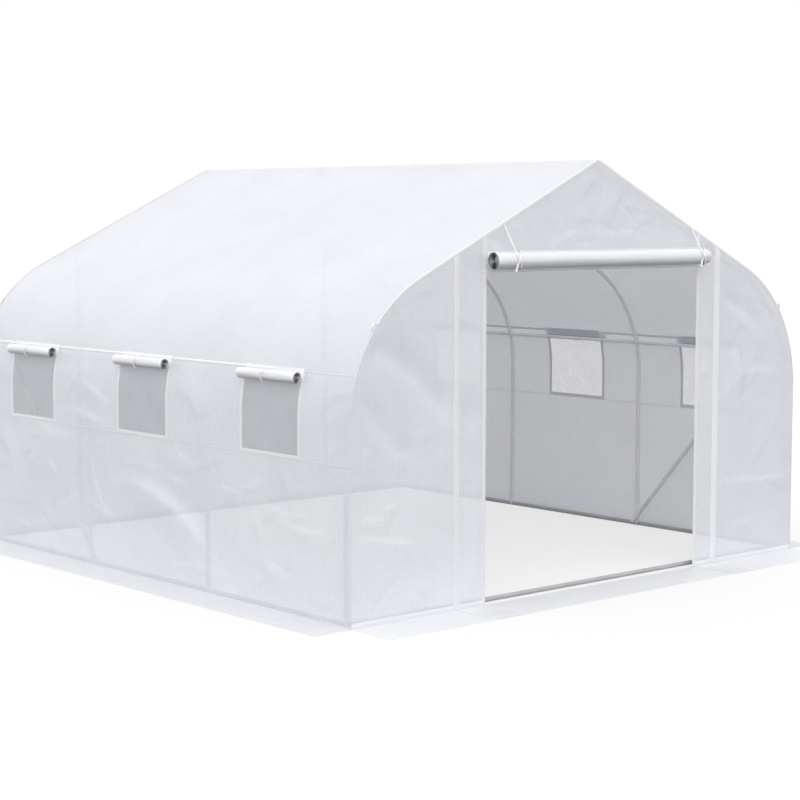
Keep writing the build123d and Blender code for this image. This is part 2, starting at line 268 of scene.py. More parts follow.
class ReliefMap:
    """A relief worked out once on a close grid and read between its points."""

    def __init__(self, relief, face, low, high, step=0.005):
        self.low, self.step = low, step
        a = np.arange(low[0], high[0] + step, step)
        b = np.arange(low[1], high[1] + step, step)
        self.values = relief(face, *crossed(a, b))

    def __call__(self, a, b):
        rows, columns = self.values.shape
        a = np.clip((np.asarray(a, float) - self.low[0]) / self.step, 0, rows - 1.001)
        b = np.clip((np.asarray(b, float) - self.low[1]) / self.step, 0, columns - 1.001)
        a, b = np.broadcast_arrays(a, b)
        i, j = a.astype(int), b.astype(int)
        fa, fb = a - i, b - j
        near = self.values[i, j] * (1 - fa) + self.values[i + 1, j] * fa
        far = self.values[i, j + 1] * (1 - fa) + self.values[i + 1, j + 1] * fa
        return near * (1 - fb) + far * fb


RIDGE_ROUNDING = 0.01


def ridge_dip(ridge):
    """How far the cover lies under the sharp ridge where it bends over it, at the distance ridge from it."""
    dip = (RIDGE_ROUNDING - ridge) ** 2 / (2 * RIDGE_ROUNDING) * tan(PITCH)
    return np.where(ridge < RIDGE_ROUNDING, dip, 0)


def shell_relief(side, s, y):
    """How far the side cover or roof stands out of its true section, tied down to the tubes behind it."""
    u = side * y
    calm = 1 - 0.6 * smooth((s - 1.3) / 0.4)
    out = calm * (0.0012 * noise(u, s, 0.5, 20 + side) + 0.00035 * noise(u, s, 0.09, 40 + side, 2))
    for line in SHELL_FOLDS[side]:
        out += fold(u, s, *line)
    bay = abs(np.sin(pi * (y + 0.5)))
    out -= 0.0015 * bay**1.5 * smooth((s - 1.1) / 0.5) * smooth((HALF_RUN - s) / 0.2)
    out *= smooth((HALF_LENGTH - abs(y)) / 0.05) * smooth(s / 0.03)
    above_or_below = np.maximum(s - 1.13, LOWER_SEAM - s)
    beside = [np.maximum(abs(abs(y - mid) - WINDOW / 2), above_or_below) for mid in BAY_MIDDLES]
    out *= 0.2 + 0.8 * smooth((np.min(beside, axis=0) - 0.015) / 0.08)
    hoop = np.min([abs(y - station) for station in HOOPS], axis=0)
    ridge = HALF_RUN - s
    floor = -0.002 - 0.02 * smooth((hoop - 0.012) / 0.07)
    floor = np.where(abs(s - run_at(PURLIN_HEIGHT)) < 0.03, np.maximum(floor, -0.004), floor)
    floor = np.where(ridge < 0.03, np.maximum(floor, -0.001), floor)
    soft = 0.0015
    out = floor + soft * np.logaddexp(0, (out - floor) / soft)
    return out - ridge_dip(ridge) - FILM_SKIN


def end_relief(end, x, z):
    """How far an end wall stands out of its plane."""
    u = -end * x
    out = 0.0018 * noise(u, z, 0.45, 60 + end) + 0.0004 * noise(u, z, 0.1, 80 + end, 2)
    for line in END_FOLDS[end]:
        out += fold(u, z, *line)
    beside = np.minimum(abs(abs(x) - SEAM_X), np.where(z < DOOR_HEAD, abs(abs(x) - DOOR_X), 1.0))
    out *= 0.2 + 0.8 * smooth((beside - 0.012) / 0.07)
    return out * smooth(edge_distance(x, z) / 0.07) * smooth(z / 0.04) - FILM_SKIN


SHELL_RELIEF, END_RELIEF = {}, {}
for side in (-1, 1):
    SHELL_RELIEF[side] = ReliefMap(shell_relief, side, (0.0, -HALF_LENGTH), (HALF_RUN, HALF_LENGTH))
    END_RELIEF[side] = ReliefMap(end_relief, side, (-HALF_WIDTH, 0.0), (HALF_WIDTH, HEIGHT))


def shell_point(side, s, y, lift=0.0):
    x, z, nx, nz = section(s)
    out = SHELL_RELIEF[side](s, y) + lift
    return stacked(side * (x + nx * out), y, z + nz * out)


def end_point(end, x, z, lift=0.0):
    return stacked(x, end * (HALF_LENGTH + END_RELIEF[end](x, z) + lift), z)


# Mesh making


def stations(start, stop, step=STEP, stops=()):
    """Positions from start to stop about a step apart, with a position at each stop between them."""
    marks = sorted({start, stop, *[m for m in stops if min(start, stop) < m < max(start, stop)]})
    if stop < start:
        marks.reverse()
    out = [marks[0]]
    for a, b in zip(marks, marks[1:]):
        count = max(1, round(abs(b - a) / step))
        out += [a + (b - a) * k / count for k in range(1, count + 1)]
    return np.array(out)


def walked_along(points):
    """Distance along a line of points, from its start to each of them."""
    return np.concatenate([[0], np.cumsum(np.linalg.norm(np.diff(points, axis=0), axis=1))])


def placed(name, data):
    """A new object of the data, in the scene."""
    piece = bpy.data.objects.new(name, data)
    bpy.context.scene.collection.objects.link(piece)
    return piece


def make_mesh(name, verts, faces, uv, material, slot, smooth_faces=True):
    mesh = bpy.data.meshes.new(name)
    mesh.from_pydata(verts.tolist(), [], faces)
    layer = mesh.uv_layers.new(name="flat")
    corner = np.zeros(len(mesh.loops), np.int32)
    mesh.loops.foreach_get("vertex_index", corner)
    layer.data.foreach_set("uv", np.asarray(uv, np.float32)[corner].ravel())
    mesh.polygons.foreach_set("use_smooth", [smooth_faces] * len(mesh.polygons))
    mesh.materials.append(material)
    piece = placed(name, mesh)
    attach(piece, "root")
    return piece


def grid_faces(rows, columns, keep=None, close=False):
    index = np.arange(rows * columns).reshape(rows, columns)
    if close:
        index = np.concatenate([index, index[:, :1]], axis=1)
    quads = stacked(index[:-1, :-1], index[1:, :-1], index[1:, 1:], index[:-1, 1:])
    return quads.reshape(-1, 4) if keep is None else quads[keep]


def grid_part(points, uv):
    """Vertices, faces and UVs of a grid of points."""
    return points.reshape(-1, 3), grid_faces(*points.shape[:2]).tolist(), uv.reshape(-1, 2)


def sheet_piece(name, points, uv, material, slot, keep=None, smooth_faces=True):
    """A single layer of film or cloth from a grid of points, with its flat coordinates in metres as UVs."""
    quads = grid_faces(*points.shape[:2], keep)
    used, quads = np.unique(quads, return_inverse=True)
    quads = quads.reshape(-1, 4).tolist()
    points, uv = points.reshape(-1, 3)[used], uv.reshape(-1, 2)[used]
    return make_mesh(name, points, quads, uv, material, slot, smooth_faces)


def merged(parts):
    """Joins lists of (vertices, faces, uv) into one."""
    verts, faces, uvs, base = [], [], [], 0
    for v, f, t in parts:
        verts.append(v)
        uvs.append(t)
        faces += [[base + k for k in face] for face in f]
        base += len(v)
    return np.concatenate(verts), faces, np.concatenate(uvs)


def curve_points(points, step=0.004):
    """A smooth line through the points, evenly spaced."""
    p = np.asarray(points, float)
    p = np.concatenate([[2 * p[0] - p[1]], p, [2 * p[-1] - p[-2]]])
    out = []
    for a, b, c, d in zip(p[:-3], p[1:-2], p[2:-1], p[3:]):
        t = np.linspace(0, 1, max(2, int(np.linalg.norm(c - b) / step) + 1), endpoint=False)[:, None]
        cubic = (3 * b - 3 * c + d - a) * t**3
        out.append(0.5 * (2 * b + (c - a) * t + (2 * a - 5 * b + 4 * c - d) * t**2 + cubic))
    return np.concatenate([*out, p[-2:-1]])


def sweep(points, ring, hint=(0, 0, 1)):
    """Vertices, faces and UVs of a closed section carried along a line, its first axis near hint."""
    tangent = np.gradient(points, axis=0)
    tangent /= np.linalg.norm(tangent, axis=1)[:, None]
    axis = np.array(hint, float)
    rows = []
    for p, t in zip(points, tangent):
        axis = axis - t * (axis @ t)
        axis = axis / max(np.linalg.norm(axis), 1e-9)
        rows.append(p + ring[:, :1] * axis + ring[:, 1:] * np.cross(t, axis))
    count, size = len(rows), len(ring)
    faces = grid_faces(count, size, close=True).tolist()
    faces += [list(range(size))[::-1], list(range((count - 1) * size, count * size))]
    uv = stacked(*crossed(walked_along(points), walked_along(ring)))
    return np.concatenate(rows), faces, uv.reshape(-1, 2)


def circle(radius, count=8):
    turn = np.arange(count) * 2 * pi / count
    return stacked(radius * np.cos(turn), radius * np.sin(turn))


def strap_section(width, thick):
    """Section of flat webbing with rounded edges: thickness along the first axis, width along the second."""
    edge = thick / 2
    arc = np.linspace(-pi / 2, pi / 2, 5)
    right = stacked(edge * np.sin(arc), width / 2 - edge + edge * np.cos(arc))
    return np.concatenate([right, -right])


# Materials

RIPSTOP = 0.0165
WEAVE = 0.0009
TWILL = 0.0008


class Nodes:
    """The node tree of a material or a world, with short calls for the nodes used here."""

    def __init__(self, owner, output="OutputMaterial"):
        self.owner = owner
        owner.use_nodes = True
        self.tree = owner.node_tree
        self.tree.nodes.clear()
        self.output = self.tree.nodes.new("ShaderNode" + output)

    def add(self, kind, inputs=None, **settings):
        """Adds a node and returns its outputs. An input is a number, a colour or another node's output."""
        node = self.tree.nodes.new("ShaderNode" + kind)
        for key, value in settings.items():
            setattr(node, key, value)
        for key, value in (inputs or {}).items():
            socket = node.inputs[key]
            if isinstance(value, bpy.types.NodeSocket):
                self.tree.links.new(value, socket)
            else:
                socket.default_value = (*value, 1.0) if socket.type == "RGBA" else value
        return node.outputs

    def math(self, operation, a, b, clamp=False):
        return self.add("Math", {0: a, 1: b}, operation=operation, use_clamp=clamp)[0]

    def times(self, a, b):
        return self.math("MULTIPLY", a, b)

    def plus(self, a, b, clamp=False):
        return self.math("ADD", a, b, clamp)

    def ramp(self, value, low, high, out_low=0.0, out_high=1.0):
        inputs = {0: value, 1: low, 2: high, 3: out_low, 4: out_high}
        return self.add("MapRange", inputs, interpolation_type="SMOOTHSTEP")[0]

    def noise(self, vector, scale, detail=3.0, rough=0.5, distortion=0.0):
        inputs = {"Vector": vector, "Scale": scale, "Detail": detail, "Roughness": rough}
        return self.add("TexNoise", {**inputs, "Distortion": distortion})[0]

    def mix(self, factor, a, b):
        return self.add("Mix", {0: factor, 6: a, 7: b}, data_type="RGBA")[2]

    def stretched(self, uv, scale):
        return self.add("Mapping", {"Vector": uv, "Scale": scale})[0]

    def bump(self, height, distance, strength, under=None):
        inputs = {"Height": height, "Strength": strength, "Distance": distance}
        return self.add("Bump", inputs if under is None else {**inputs, "Normal": under})[0]

    def flat(self):
        """The sheet's flat coordinates in metres, together and one by one."""
        uv = self.add("UVMap", uv_map="flat")[0]
        return uv, self.add("SeparateXYZ", {0: uv})

    def teeth(self, value, half):
        """Rises and falls between 0 and 1, with its crests two halves apart."""
        return self.times(self.math("PINGPONG", value, half), 1 / half)

    def ripstop(self, along, width, strengths=(1.0, 1.0)):
        """Raised lines both ways over a sheet."""
        away = [self.math("PINGPONG", along[axis], RIPSTOP / 2) for axis in (0, 1)]
        lines = [self.ramp(a, 0.0, width, share, 0.0) for a, share in zip(away, strengths)]
        return self.math("MAXIMUM", *lines)

    def coat(self, colour, rough, bump, **sheen):
        """The surface itself. The names of further sockets are given with _ for a space."""
        inputs = {"Base Color": colour, "Roughness": rough, "Normal": bump}
        inputs.update({name.replace("_", " "): value for name, value in sheen.items()})
        return self.add("BsdfPrincipled", inputs)[0]

    def blend(self, share, a, b):
        return self.add("MixShader", {0: share, 1: a, 2: b})[0]

    def glowing(self, front, colour, bump, share):
        """Lets a share of the light through a sheet, scattered."""
        return self.blend(share, front, self.add("BsdfTranslucent", {"Color": colour, "Normal": bump})[0])

    def see_through(self, body, share):
        """Lets what is behind a sheet be seen through a share of it."""
        return self.blend(share, body, self.add("BsdfTransparent")[0])

    def seen_directly(self):
        """1 for rays from the camera, a reflection or a refraction, which see the plain white background."""
        path = self.add("LightPath")
        seen = self.math("MAXIMUM", path["Is Camera Ray"], path["Is Glossy Ray"])
        return self.math("MAXIMUM", seen, path["Is Transmission Ray"])

    def surface(self, shader):
        self.tree.links.new(shader, self.output.inputs["Surface"])
        return self.owner


def material_nodes(name):
    return Nodes(bpy.data.materials.new(name))


def film_material(name, low, high, clear, glow):
    """Woven film with ripstop lines: it reflects, glows through and shows what is behind it."""
    n = material_nodes(name)
    uv, along = n.flat()
    grid = n.ripstop(along, 0.0036, (1.0, 0.6))
    cloth = n.times(n.teeth(along[0], WEAVE), n.teeth(along[1], WEAVE))
    cloud = n.noise(uv, 2.6, 5.0, 0.55)
    haze = n.noise(uv, 34.0, 3.0, 0.6)
    tone = n.plus(n.times(cloud, 0.62), n.times(haze, 0.38))
    tone = n.plus(n.ramp(tone, 0.3, 0.7, 0.0, 0.85), n.times(grid, 0.18))
    colour = n.mix(tone, low, high)
    bump = n.bump(n.noise(uv, 55.0, 4.0, 0.55, 0.6), 0.0011, 0.5)
    bump = n.bump(grid, 0.0002, 0.25, bump)
    bump = n.bump(cloth, 0.0002, 0.5, bump)
    rough = n.ramp(haze, 0.25, 0.75, 0.34, 0.52)
    front = n.coat(colour, rough, bump, Specular_IOR_Level=0.35, Sheen_Weight=0.05, Sheen_Roughness=0.5)
    open_share = n.times(n.math("SUBTRACT", 1.0, n.times(grid, 0.32)), clear)
    return n.surface(n.see_through(n.glowing(front, colour, bump, glow), open_share))


def rolled_material(name):
    """The same film wound up: white hems and creases, with painted shade between its inner turns and on its
    underside.
    """
    n = material_nodes(name)
    uv, along = n.flat()
    grid = n.ripstop(along, 0.003)
    crease = n.noise(n.stretched(uv, (3.0, 26.0, 1.0)), 2.2, 5.0, 0.62, 0.8)
    haze = n.noise(uv, 40.0, 3.0, 0.6)
    tone = n.plus(n.times(n.ramp(crease, 0.3, 0.75), 0.7), n.times(grid, 0.3))
    colour = n.mix(tone, (0.83, 0.84, 0.87), (0.9, 0.91, 0.94))
    hem = n.ramp(along[0], 0.014, 0.0165, 0.8, 0.0)
    colour = n.mix(hem, colour, (0.97, 0.975, 0.985))
    rings = n.noise(n.stretched(uv, (0.0, 1.0, 1.0)), 9.0, 2.0, 0.7)
    # Painted shade: the inner turns, where little light reaches, are darkened towards grey in uneven rings.
    inside = n.times(n.ramp(along[1], 0.22, 0.3), n.ramp(rings, 0.42, 0.58, 0.25, 0.75))
    colour = n.mix(inside, colour, (0.3, 0.31, 0.33))
    # Painted shade: faces whose normal points down are darkened towards grey, so the roll's underside reads
    # as shaded.
    upward = n.add("SeparateXYZ", {0: n.add("NewGeometry")["Normal"]})[2]
    colour = n.mix(n.ramp(upward, -0.98, 0.2, 1.0, 0.0), colour, (0.42, 0.43, 0.46))
    bump = n.bump(crease, 0.0018, 0.5)
    bump = n.bump(grid, 0.0003, 0.5, bump)
    bump = n.bump(haze, 0.0006, 0.5, bump)
    rough = n.ramp(haze, 0.25, 0.75, 0.3, 0.5)
    front = n.coat(colour, rough, bump, Specular_IOR_Level=0.45, Sheen_Weight=0.05)
    return n.surface(n.glowing(front, colour, bump, 0.1))


def webbing_material(name, low, high, clear, glow):
    """Woven tape: a twill, rows of stitches and a slight sheen, with some light through it."""
    n = material_nodes(name)
    uv, along = n.flat()
    twill = n.teeth(n.plus(along[0], along[1]), TWILL)
    stitch = n.ramp(n.math("PINGPONG", along[0], 0.0024), 0.0004, 0.0012)
    row = n.ramp(n.math("PINGPONG", along[1], 0.003), 0.0004, 0.0009, 1.0, 0.0)
    wear = n.noise(uv, 18.0, 4.0, 0.6)
    tone = n.plus(n.times(twill, 0.35), n.times(wear, 0.65), clamp=True)
    colour = n.mix(tone, low, high)
    bump = n.bump(twill, 0.0003, 0.6)
    bump = n.bump(n.times(stitch, row), 0.0005, 0.8, bump)
    bump = n.bump(n.noise(uv, 420.0, 2.0, 0.6), 0.0002, 0.4, bump)
    rough = n.ramp(wear, 0.3, 0.7, 0.6, 0.85)
    front = n.coat(colour, rough, bump, Specular_IOR_Level=0.25, Sheen_Weight=0.2, Sheen_Roughness=0.4)
    return n.surface(n.see_through(n.glowing(front, colour, bump, glow), clear))


def thread_material(name):
    """Mesh thread: a twisted monofilament with slight changes of tone."""
    n = material_nodes(name)
    uv, _ = n.flat()
    twist = n.noise(uv, 900.0, 2.0, 0.6)
    cloud = n.noise(uv, 9.0)
    colour = n.mix(n.ramp(cloud, 0.3, 0.7), (0.54, 0.55, 0.585), (0.62, 0.63, 0.665))
    bump = n.bump(twist, 0.0002, 0.5)
    return n.surface(n.coat(colour, n.ramp(twist, 0.2, 0.8, 0.5, 0.75), bump, Specular_IOR_Level=0.3))


def painted_steel(name, low, high, speck, roughness=0.38, metallic=0.0):
    """Powder coat on steel tube: fine orange peel, slow changes of tone and small scuffs."""
    n = material_nodes(name)
    place = n.add("TexCoord")["Object"]
    cloud = n.noise(place, 6.0, 4.0, 0.6)
    scuff = n.ramp(n.noise(place, 46.0, 6.0, 0.7, 0.4), 0.66, 0.74)
    colour = n.mix(n.ramp(cloud, 0.3, 0.7), low, high)
    colour = n.mix(n.times(scuff, 0.45), colour, speck)
    rough = n.ramp(cloud, 0.3, 0.7, roughness - 0.05, roughness + 0.07)
    rough = n.plus(rough, n.times(scuff, 0.18))
    bump = n.bump(n.noise(place, 900.0), 0.0002, 0.4)
    bump = n.bump(scuff, 0.0002, 0.5, bump)
    return n.surface(n.coat(colour, rough, bump, Metallic=metallic, Specular_IOR_Level=0.5))


FILM = film_material("cover_film", (0.775, 0.787, 0.83), (0.845, 0.857, 0.9), 0.18, 0.12)
SKIRT_FILM = film_material("skirt_film", (0.84, 0.85, 0.88), (0.9, 0.91, 0.94), 0.1, 0.1)
FLAP_FILM = film_material("seam_film", (0.855, 0.863, 0.893), (0.905, 0.913, 0.938), 0.03, 0.1)
ROLLED = rolled_material("rolled_film")
TAPE = webbing_material("binding_tape", (0.85, 0.86, 0.89), (0.905, 0.915, 0.94), 0.02, 0.1)
SEAM_TAPE = webbing_material("seam_tape", (0.93, 0.935, 0.95), (0.97, 0.975, 0.985), 0.0, 0.1)
TIE = webbing_material("tie_tape", (0.965, 0.97, 0.98), (0.99, 0.99, 0.99), 0.0, 0.2)
THREAD = thread_material("mesh_thread")
TUBE = painted_steel("frame_paint", (0.84, 0.845, 0.865), (0.9, 0.905, 0.92), (0.65, 0.65, 0.66))
RAIL = painted_steel("rail_paint", (0.42, 0.425, 0.44), (0.49, 0.495, 0.51), (0.32, 0.32, 0.33))
CONNECTOR_TONES = (0.56, 0.565, 0.58), (0.64, 0.645, 0.66), (0.38, 0.38, 0.39)
CONNECTOR = painted_steel("connector_paint", *CONNECTOR_TONES, 0.45)
BOLT = painted_steel("bolt_zinc", (0.62, 0.625, 0.64), (0.74, 0.745, 0.755), (0.4, 0.4, 0.41), 0.3, 0.85)

# Frame

PAINTS = {"hoop_": TUBE, "purlins": TUBE, "braces": TUBE, "ridge_tube": TUBE, "base_rails": RAIL}
PAINTS["ridge_connectors"] = CONNECTOR
for node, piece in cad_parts.items():
    for start, paint in PAINTS.items():
        if node.startswith(start):
            if not piece.material_slots:
                piece.data.materials.append(paint)
            for held in piece.material_slots:
                held.link = "OBJECT"
                held.material = paint

# Side covers and roof

lower, upper = run_at(LOWER_SEAM), run_at(UPPER_SEAM)
sill, head = run_at(SILL), run_at(HEAD)
roof_ys = stations(-HALF_LENGTH, HALF_LENGTH, STEP, HOOPS)


def film_piece(name, grid, stands_for, look=FILM, slot="film", keep=None):
    """A piece of film, which hides the CAD pieces it stands for."""
    piece = sheet_piece(name, *grid, look, slot, keep)
    if stands_for:
        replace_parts(piece, *stands_for)


def shell_grid(side, s, y):
    s, y = crossed(s, y)
    return shell_point(side, s, y), stacked(side * y, s)


for name, side in SIDES.items():
    wall_ys = stations(-HALF_LENGTH, HALF_LENGTH, WALL_STEP, HOOPS)
    grid = shell_grid(side, stations(FILM_SKIN, lower, WALL_STEP), wall_ys)
    film_piece(f"side_cover_{name}", grid, [f"side_panel_{name}"])

    edges = [y + k * WINDOW / 2 for y in WINDOWS[name] for k in (-1, 1)]
    s_line = stations(lower, upper, WALL_STEP, (sill, head))
    y_line = stations(-HALF_LENGTH, HALF_LENGTH, WALL_STEP, (*HOOPS, *edges))
    s_mid = (s_line[1:] + s_line[:-1]) / 2
    y_mid = (y_line[1:] + y_line[:-1]) / 2
    between = (s_mid > sill) & (s_mid < head)
    beside = np.any([abs(y_mid - y) < WINDOW / 2 for y in WINDOWS[name]], axis=0)
    grid = shell_grid(side, s_line, y_line)
    film_piece(
        f"window_cover_{name}", grid, [f"window_band_{name}"],
        keep=~(between[:, None] & beside),
    )

# The roof is one sheet from seam to seam, with closer rows where it bends over the ridge
left_s = stations(upper, HALF_RUN, STEP, (ARC_END,))
ridge_s = stations(HALF_RUN - RIDGE_ROUNDING, HALF_RUN, 0.0025)
left_s = np.concatenate([left_s[left_s < HALF_RUN - 0.011], ridge_s])
right_s = left_s[::-1][1:]
left_points, _ = shell_grid(-1, left_s, roof_ys)
right_points, _ = shell_grid(1, right_s, roof_ys)
across = np.concatenate([left_s - HALF_RUN, HALF_RUN - right_s])
uv = stacked(roof_ys, across[:, None])
film_piece(
    "roof_cover", (np.concatenate([left_points, right_points]), uv), ["roof_left", "roof_right"],
)

# End walls


def wall_columns(x0, x1):
    """Columns of an end wall: close together where the haunch turns steep."""
    haunch = HAUNCH_X + HAUNCH * np.cos(np.linspace(0, HAUNCH_TURN, 46))
    middle = stations(-EAVE_X, EAVE_X, WALL_STEP, (-SEAM_X, -DOOR_X, 0, DOOR_X, SEAM_X))
    marks = np.unique(np.round(np.concatenate([-haunch, haunch, middle]), 6))
    return np.unique(np.concatenate([[x0], marks[(marks > x0 + 1e-4) & (marks < x1 - 1e-4)], [x1]]))


def wall_grid(end, x0, x1, foot, top=None):
    """A piece of an end wall, from foot to top or to the outline: points, UVs, area and height."""
    x = wall_columns(x0, x1)
    rise = outline_height(x) if top is None else np.full(len(x), top)
    rows = max(2, round((rise.max() - foot) / WALL_STEP) + 1)
    t = np.linspace(0, 1, rows)
    z = foot + (rise[:, None] - foot) * t
    area = float(np.sum((rise[1:] + rise[:-1] - 2 * foot) / 2 * np.diff(x)))
    x = np.broadcast_to(x[:, None], z.shape)
    return end_point(end, x, z), stacked(-end * x, z), area, float(rise.max() - foot)


OUTER_PANELS = {
    "panel_left": (-HALF_WIDTH, -SEAM_X, FILM_SKIN, None),
    "panel_right": (SEAM_X, HALF_WIDTH, FILM_SKIN, None),
}
END_PIECES = {
    "front": {
        **OUTER_PANELS,
        "jamb_left": (-SEAM_X, -DOOR_X, FILM_SKIN, DOOR_HEAD),
        "jamb_right": (DOOR_X, SEAM_X, FILM_SKIN, DOOR_HEAD),
        "gable": (-SEAM_X, SEAM_X, DOOR_HEAD, None),
    },
    "back": {**OUTER_PANELS, "panel_middle": (-SEAM_X, SEAM_X, FILM_SKIN, None)},
}
for end_name, pieces in END_PIECES.items():
    for label, (x0, x1, foot, top) in pieces.items():
        points, uv, area, tall = wall_grid(ENDS[end_name], x0, x1, foot, top)
        film_piece(
            f"{end_name}_cover_{label}", (points, uv), [f"{end_name}_{label}"],
        )

# Upright seam flaps: width, tilt from the wall, and where each one is sewn on

FLAP_SIZES = {"left": (0.03, radians(8)), "right": (0.0353, radians(16.3))}
FLAP_ROOTS = {("front", "left"): 0.8795, ("front", "right"): 0.849}
BACK_ROOT = 0.868
FLAP_GAP = 0.003
FLAP_REACH = np.array([0, 0.2, 0.4, 0.6, 0.8, 0.94, 1, 1, 1])
FLAP_HEM = np.array([0, 0, 0, 0, 0, 0, 0.0008, 0.0012, 0.002])
FLAP_LIFT = FLAP_REACH * np.array([1, 1, 1, 1, 1, 1, 0.93, 0.5, 0.0])
for end_name, end in ENDS.items():
    for name, side in SIDES.items():
        width, tilt = FLAP_SIZES[name]
        reach = FLAP_ROOTS.get((end_name, name), BACK_ROOT) + width * cos(tilt) * FLAP_REACH + FLAP_HEM
        stand = width * sin(tilt) * FLAP_LIFT
        x = side * reach
        top = outline_height(x) - FLAP_GAP
        z = FLAP_GAP + (top[None, :] - FLAP_GAP) * stations(0, 1, 0.008)[:, None]
        wave = 1 + 0.05 * noise(z[:, -1], z[:, -1] * 0, 0.3, 90 + side + 3 * end)
        at_ends = (0.45 + 0.55 * smooth(z / 0.05)) * (0.3 + 0.7 * smooth((top[-1] - z) / 0.05))
        out = np.minimum(END_RELIEF[end](x, z), 0.004) + 0.0006 + stand[None, :] * wave[:, None] * at_ends
        points = stacked(x, end * (HALF_LENGTH + out), z)
        flat = walked_along(stacked(reach, stand))
        uv = stacked(z, flat[None, :])
        size, below = (flat[-1], top.mean()), [f"{end_name}_cover_panel_{name}"]
        flap = f"seam_flap_{end_name}_{name}"
        film_piece(flap, (points, uv), ["seam_flaps"], FLAP_FILM, "seam_film")

# Ground skirts

END_SEED, SIDE_SEED = 110, 120
RIM = HALF_LENGTH + END_SKIRT


def skirt_grid(x_line, y_line, seed, lift=0.0):
    """A skirt that lies on the ground with a few low waves, flat along the wall and at its outer rim."""
    x, y = crossed(x_line, y_line)
    wave = noise(x, y, 0.35, seed) * 0.6 + noise(x, y, 0.12, seed + 9, 2) * 0.25
    rise = 0.0012 + 0.005 * np.clip(wave, 0, 1.5) ** 1.3
    past_side, past_end = abs(x) - HALF_WIDTH, abs(y) - HALF_LENGTH
    away = np.maximum(past_side, past_end)
    to_rim = np.where(past_end > past_side, END_SKIRT, SIDE_SKIRT) - away
    z = rise * smooth(away / 0.03) * (0.1 + 0.9 * smooth(to_rim / 0.05)) + 0.0008 + lift
    return stacked(x, y, z), stacked(x, y)


for end_name, end in ENDS.items():
    grid = skirt_grid(stations(-HALF_WIDTH, HALF_WIDTH), stations(end * HALF_LENGTH, end * RIM), END_SEED)
    below, size = [f"{end_name}_cover_panel_left"], (2 * HALF_WIDTH, END_SKIRT)
    film_piece(f"ground_skirt_{end_name}", grid, [f"skirt_{end_name}"], SKIRT_FILM)
for name, side in SIDES.items():
    grid = skirt_grid(stations(side * HALF_WIDTH, side * (HALF_WIDTH + SIDE_SKIRT)), roof_ys, SIDE_SEED)
    below, size = [f"side_cover_{name}"], (SIDE_SKIRT, LENGTH)
    film_piece(f"ground_skirt_{name}", grid, [f"skirt_{name}"])

# Double film where the strips beside the doorway run out over the skirt
PATCH_IN, PATCH_OUT, PATCH_FOOT = 0.732, 0.886, 0.1
for name, side in SIDES.items():
    x_line = stations(side * PATCH_IN, side * PATCH_OUT)
    grid = skirt_grid(x_line, stations(-RIM + 0.001, -HALF_LENGTH - PATCH_FOOT), END_SEED, 0.0012)
    size = (PATCH_OUT - PATCH_IN, END_SKIRT - PATCH_FOOT - 0.001)
    film_piece(f"skirt_patch_{name}", grid, [], SKIRT_FILM)

# Tapes and seams

TAPE_ROWS = 7
TAPE_RISE = 0.0009


def crown(rise):
    """Lift across a sewn tape: low at both edges, full between them."""
    return rise * (1 - abs(np.linspace(-1, 1, TAPE_ROWS)) ** 3) + 0.0004


def level_tape(side, s0, s1, y0, y1, rise=TAPE_RISE):
    """A tape along the side cover."""
    s, y = crossed(np.linspace(s0, s1, TAPE_ROWS), stations(y0, y1, STEP))
    return grid_part(shell_point(side, s, y, crown(rise)[:, None]), stacked(y, s - s0))


def tape(point, face, a0, a1, b0, b1, rise=TAPE_RISE):
    """A tape up the side cover or across an end wall, by the function that gives the face's points."""
    a, b = crossed(stations(a0, a1, STEP), np.linspace(b0, b1, TAPE_ROWS))
    return grid_part(point(face, a, b, crown(rise)), stacked(a, b - b0))


def upright_tape(end, x0, x1, z0, z1=None):
    """A tape up an end wall to z1 or, without one, to the outline."""
    line = np.linspace(x0, x1, TAPE_ROWS)
    top = outline_height(line) - 0.003 if z1 is None else np.full(TAPE_ROWS, z1)
    x, t = crossed(line, stations(0, 1, STEP / (top.mean() - z0)))
    z = z0 + (top[:, None] - z0) * t
    return grid_part(end_point(end, x, z, crown(TAPE_RISE)[:, None]), stacked(z, abs(x - x0)))


WINDOW_TAPE, DOOR_TAPE = 0.017, 0.019
for name, side in SIDES.items():
    parts = []
    for y in WINDOWS[name]:
        for k in (-1, 1):
            edge = y + k * WINDOW / 2
            line = edge - 0.001 * k, edge + k * WINDOW_TAPE
            parts.append(tape(shell_point, side, lower, head + 0.02, *line))
        parts.append(level_tape(side, lower, sill + 0.001, y - WINDOW / 2, y + WINDOW / 2))
    tapes = make_mesh(f"window_binding_{name}", *merged(parts), TAPE, "webbing")
    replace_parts(tapes, f"window_tapes_{name}")

    # The upper seam stands out from the first window on. In front of it, and lower down, a seam is faint.
    first_window = WINDOWS[name][0]
    upper_seam = level_tape(side, upper - 0.003, upper + 0.0095, first_window, HALF_LENGTH, 0.0024)
    make_mesh(f"upper_seam_{name}", *upper_seam, SEAM_TAPE, "webbing")
    faint = [
        level_tape(side, upper - 0.002, upper + 0.006, -HALF_LENGTH, first_window, 0.0006),
        level_tape(side, lower - 0.004, lower + 0.0005, -HALF_LENGTH, HALF_LENGTH),
    ]
    make_mesh(f"level_seams_{name}", *merged(faint), FILM, "webbing")

door, gable = [], []
for side in SIDES.values():
    inner, outer = side * (DOOR_X - 0.002), side * (DOOR_X + DOOR_TAPE)
    door.append(upright_tape(-1, inner, outer, 0.004, DOOR_HEAD - 0.001))
    gable.append(upright_tape(-1, inner, outer, DOOR_HEAD))
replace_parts(make_mesh("door_binding", *merged(door), TAPE, "webbing"), "door_tapes")
make_mesh("gable_binding", *merged(gable), FLAP_FILM, "webbing")

